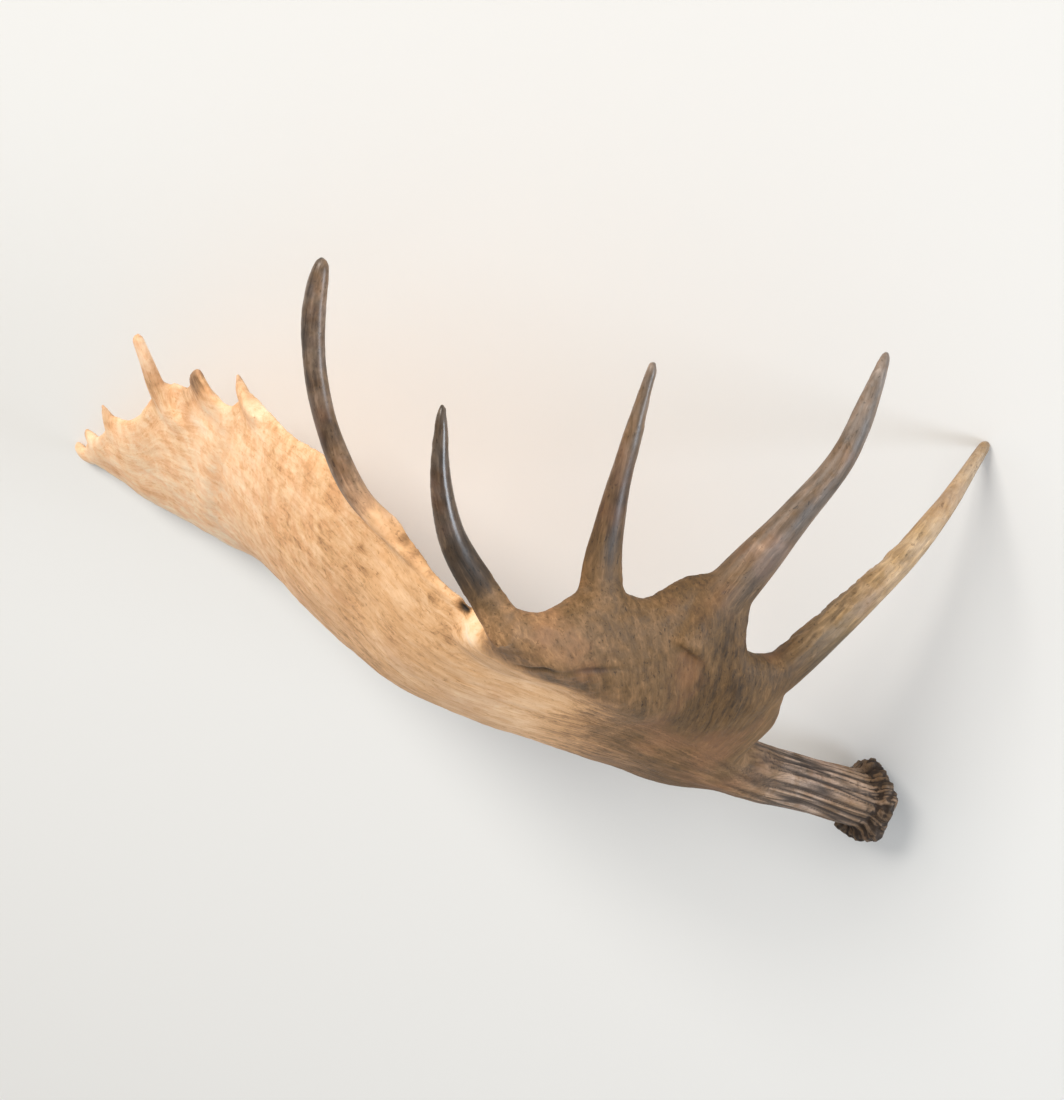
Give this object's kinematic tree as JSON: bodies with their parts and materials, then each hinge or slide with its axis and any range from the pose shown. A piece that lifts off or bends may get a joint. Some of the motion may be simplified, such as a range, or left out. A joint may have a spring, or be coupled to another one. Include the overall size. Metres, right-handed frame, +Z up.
{
  "type": "moose antler",
  "caption": "Shed right antler of a bull moose: ridged beam from a knobbly burr, brow palm with long tines, and a long cupped main palm with a pointed rim.",
  "frame": {"origin": "middle of the bounding box's base, on the surface that the antler lies on", "axes": "+X from the burr towards the tip of the main palm, +Z up from the surface, tines towards -Y"},
  "size_m": [0.8678, 0.469, 0.4167],
  "materials": {
    "beam_bone": "rough antler bone, dark brown furrows between grey-cream ridges",
    "main_palm_bone": "dry antler bone, pale cream with fine brown streaks along it",
    "brow_palm_bone": "dry antler bone, mid brown with fine fibrous grain",
    "tine_bone": "polished antler bone, grey-brown flanks with paler tips"
  },
  "bodies": {
    "root": {"beam": "beam_bone", "main_palm": "main_palm_bone", "brow_palm": "brow_palm_bone", "brow_tine_1": "tine_bone", "brow_tine_2": "tine_bone", "brow_tine_3": "tine_bone", "brow_tine_4": "tine_bone", "palm_tine": "tine_bone"}
  },
  "joints": []
}
